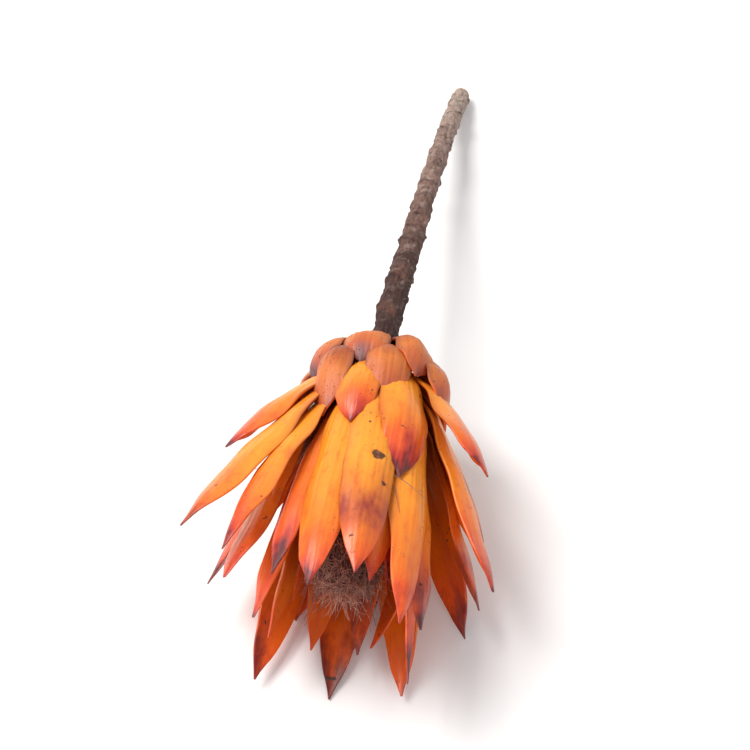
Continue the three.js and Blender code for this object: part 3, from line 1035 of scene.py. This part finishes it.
# %% Put the bract material together
def bract_material(name, face, back, margin, vein, roughness, speckles):
    """face and back are the ramps of the outer and the inner side, from root to tip."""
    material, tree, shader = new_skin(name)
    where = object_place(tree)
    streaks = add(tree, "ShaderNodeGroup", node_tree=streak_group)
    put(tree, streaks, Place=stored(tree, "bract_place", "Vector"), Seed=stored(tree, "bract_seed"))
    specks = add(tree, "ShaderNodeGroup", node_tree=speck_group)
    put(tree, specks, Position=where, Amount=speckles)

    age = bract_age(tree, streaks.outputs)
    faces = (ramp(tree, age, back), ramp(tree, age, face))
    colour = blend_colour(tree, stored(tree, "bract_outer"), *faces)
    colour = stained_bract(tree, colour, age, streaks.outputs, vein, margin)
    marks, dead = dead_skin(tree, where, specks.outputs)
    colour = blend_colour(tree, maths(tree, "MULTIPLY", marks, 0.92), colour, dead)
    put(tree, shader, Base_Color=colour)

    satin = ranged(tree, streaks.outputs["Blotch"], 0.28, roughness - 0.14)
    put(tree, shader, Roughness=maths(tree, "ADD", satin, maths(tree, "MULTIPLY", marks, 0.3)))
    veins = maths(tree, "MULTIPLY", streaks.outputs["Fine"], 0.5)
    pitted = maths(tree, "ADD", veins, maths(tree, "MULTIPLY", marks, -0.5))
    grain = maths(tree, "MULTIPLY", cloudy(tree, where, 2600.0, 3.0), 0.16)
    bumped(tree, shader, maths(tree, "ADD", pitted, grain), strength=0.55, distance=0.25 * MM)
    return material


# %% Colours from root to tip
# The first, darker stop of each ramp, at the very root, is painted shade where the bracts overlap.
OUTER_FACE = [
    (0.0, rgb(206, 96, 30)),
    (0.16, rgb(236, 142, 40)),
    (0.45, rgb(243, 150, 38)),
    (0.7, rgb(238, 122, 34)),
    (0.86, rgb(222, 84, 32)),
    (0.95, rgb(178, 44, 36)),
    (1.0, rgb(96, 26, 36)),
]
INNER_FACE = [
    (0.0, rgb(120, 48, 12)),
    (0.25, rgb(204, 94, 12)),
    (0.65, rgb(232, 112, 16)),
    (0.88, rgb(222, 86, 24)),
    (1.0, rgb(140, 40, 30)),
]
LONG_FACE = [
    (0.0, rgb(150, 64, 18)),
    (0.3, rgb(218, 112, 26)),
    (0.65, rgb(232, 108, 28)),
    (0.84, rgb(218, 78, 30)),
    (0.94, rgb(172, 44, 34)),
    (1.0, rgb(86, 28, 34)),
]
SCALE_FACE = [
    (0.0, rgb(98, 48, 34)),
    (0.25, rgb(168, 82, 38)),
    (0.5, rgb(206, 114, 48)),
    (0.75, rgb(188, 92, 48)),
    (0.9, rgb(146, 72, 60)),
    (1.0, rgb(98, 58, 62)),
]

# %% Give each bract its skin
# Each margin colour is partly a brown rim and partly painted shade along the edges.
skins = {
    "bract": bract_material(
        "outer_bract_skin", OUTER_FACE, INNER_FACE,
        margin=rgb(150, 52, 28), vein=rgb(255, 206, 116), roughness=0.34, speckles=0.6,
    ),
    "inner_bract": bract_material(
        "long_bract_skin", LONG_FACE, INNER_FACE,
        margin=rgb(120, 40, 24), vein=rgb(250, 170, 80), roughness=0.46, speckles=0.5,
    ),
    "scale": bract_material(
        "scale_skin", SCALE_FACE, INNER_FACE,
        margin=rgb(92, 54, 56), vein=rgb(232, 172, 128), roughness=0.48, speckles=0.85,
    ),
}
for node, piece in bracts.items():
    piece.data.materials.append(skins[KINDS[kind_of(node)][0]])
print(len(skins), "skins on", len(bracts), "bracts")

# %% [markdown]
# ## The bark
#
# The stem is painted dark near the head, as painted shade where the head's shadow falls on it,
# and pales to a greyish tan at its cut end, so its base colour is a ramp along the stem, broken up
# by broad noise. Dark crevices, pale lichen, thin growth rings and rusty patches are mixed over it,
# and the leaf scars stored on the mesh are darkened. The sawn face shows pale wood. The bump has a
# fibre pattern drawn out along the stem.

# %% Colours of the bark
# Darkest near the head: painted shade where the head's shadow falls on the stem.
BARK_SHADE_ALONG = [
    (0.0, rgb(66, 44, 40)),
    (0.2, rgb(84, 60, 54)),
    (0.45, rgb(122, 94, 84)),
    (0.7, rgb(150, 124, 114)),
    (0.95, rgb(178, 158, 146)),
]


def growth_rings(tree, along, broad):
    """Thin dark rings round the stem; along is in millimetres."""
    phase = maths(tree, "MULTIPLY", along, 0.95)
    bent = maths(tree, "ADD", phase, maths(tree, "MULTIPLY", broad, 5.0))
    return above(tree, maths(tree, "SINE", bent, 0.0), 0.86, 6.0)


def lichen_patches(tree, where, share_along):
    """Pale patches, more of them towards the cut end."""
    patches = above(tree, cloudy(tree, where, 420.0, 4.0, 0.6), 0.55, 9.0)
    return maths(tree, "MULTIPLY", patches, maths(tree, "ADD", share_along, 0.15), clamp=True)


# %% Put the bark together
def bark_material():
    material, tree, shader = new_skin("stem_bark_skin")
    where = object_place(tree)
    place = put(tree, add(tree, "ShaderNodeSeparateXYZ"), _0=stored(tree, "stem_place", "Vector"))
    along, share_along = place.outputs["Y"], place.outputs["Z"]
    broad = cloudy(tree, where, 170.0, 5.0, 0.65)
    fine = cloudy(tree, where, 900.0, 5.0, 0.7)
    fibre = cloudy(tree, stretched(tree, where, (1, 0.14, 1)), 1500.0, 4.0, 0.6)

    # The ramp paints shade on the stem near the head.
    colour = ramp(tree, maths(tree, "ADD", share_along, centred(tree, broad, 0.7)), BARK_SHADE_ALONG)
    colour = stain(tree, colour, below(tree, fine, 0.52, 4.0), 0.8, rgb(50, 32, 30))
    colour = stain(tree, colour, lichen_patches(tree, where, share_along), 0.6, rgb(190, 172, 162))
    colour = stain(tree, colour, growth_rings(tree, along, broad), 0.45, rgb(62, 40, 36))
    colour = stain(tree, colour, above(tree, broad, 0.56, 6.0), 0.4, rgb(156, 96, 74))
    colour = stain(tree, colour, stored(tree, "stem_scar"), 0.85, rgb(48, 32, 32))
    wood = blend_colour(tree, fine, (*rgb(206, 178, 144), 1), (*rgb(150, 118, 88), 1))
    put(tree, shader, Base_Color=blend_colour(tree, stored(tree, "stem_cut"), colour, wood))

    put(tree, shader, Roughness=ranged(tree, fine, 0.25, 0.68))
    shader.inputs["Specular IOR Level"].default_value = 0.3
    height = maths(tree, "ADD", fine, maths(tree, "MULTIPLY", fibre, 0.7))
    bumped(tree, shader, height, strength=0.9, distance=0.6 * MM)
    return material


stem.data.materials.append(bark_material())
print("bark on", stem.name)

# %% [markdown]
# ## The florets' fibres
#
# Dried styles and hairs are dull pinkish brown, paler towards their ends, and each clump has its
# own tone. On the frizz the dark roots are painted shade deep in the tuft, and the pale ends are
# partly painted highlight. A ramp along the hair is multiplied by a grey for the hair's stored
# tone. A little sheen stands for the fine down that catches the light. The core below them is
# painted dark, as painted shade in the gaps between the hairs, with a fibrous bump, so that the
# gaps look deep.


# %% The hairs
def hair_material(name, stops, roughness):
    """The ramp runs from the hair's root to its end, and roughness is that of the darkest hair."""
    material, tree, shader = new_skin(name)
    tone = stored(tree, "hair_tone")
    grown = ramp(tree, stored(tree, "hair_along"), stops)
    toned = ramp(tree, tone, [(0.0, grey(0.5)), (0.5, grey(0.82)), (1.0, grey(1.0))])
    put(tree, shader, Base_Color=blend_colour(tree, 1.0, grown, toned, "MULTIPLY"))
    put(tree, shader, Roughness=ramp(tree, tone, [(0.0, grey(roughness)), (1.0, grey(0.7))]))
    shader.inputs["Sheen Weight"].default_value = 0.3
    return material


STYLE_ALONG = [(0.0, rgb(92, 44, 34)), (0.7, rgb(150, 84, 66)), (1.0, rgb(110, 50, 40))]
# Dark root: painted shade deep in the tuft; pale end: partly painted highlight on the pinkish fibre.
FRIZZ_SHADE_TO_HIGHLIGHT = [(0.0, rgb(124, 46, 26)), (0.4, rgb(206, 112, 78)), (1.0, rgb(240, 184, 156))]
style_hairs.data.materials.append(hair_material("style_fibre", STYLE_ALONG, 0.55))
frizz_hairs.data.materials.append(hair_material("frizz_fibre", FRIZZ_SHADE_TO_HIGHLIGHT, 0.5))
print("fibres on", style_hairs.name, "and", frizz_hairs.name)

# %% The core
# The dark tones are painted shade in the gaps between the hairs.
CORE_SHADE_TUFTS = [(0.3, rgb(48, 20, 14)), (0.55, rgb(104, 46, 30)), (0.75, rgb(160, 88, 62))]

core, tree, shader = new_skin("floret_core")
tufts = cloudy(tree, stretched(tree, object_place(tree), (1, 0.12, 1)), 1300.0, 5.0, 0.7)
put(tree, shader, Base_Color=ramp(tree, tufts, CORE_SHADE_TUFTS))
put(tree, shader, Roughness=ramp(tree, tufts, [(0.0, grey(0.75)), (1.0, grey(0.95))]))
bumped(tree, shader, tufts, strength=1.0, distance=0.8 * MM)
cone_piece.data.materials.append(core)
print("core on", cone_piece.name)

# %% [markdown]
# ## Finish

# %% Finish
deselect_all()
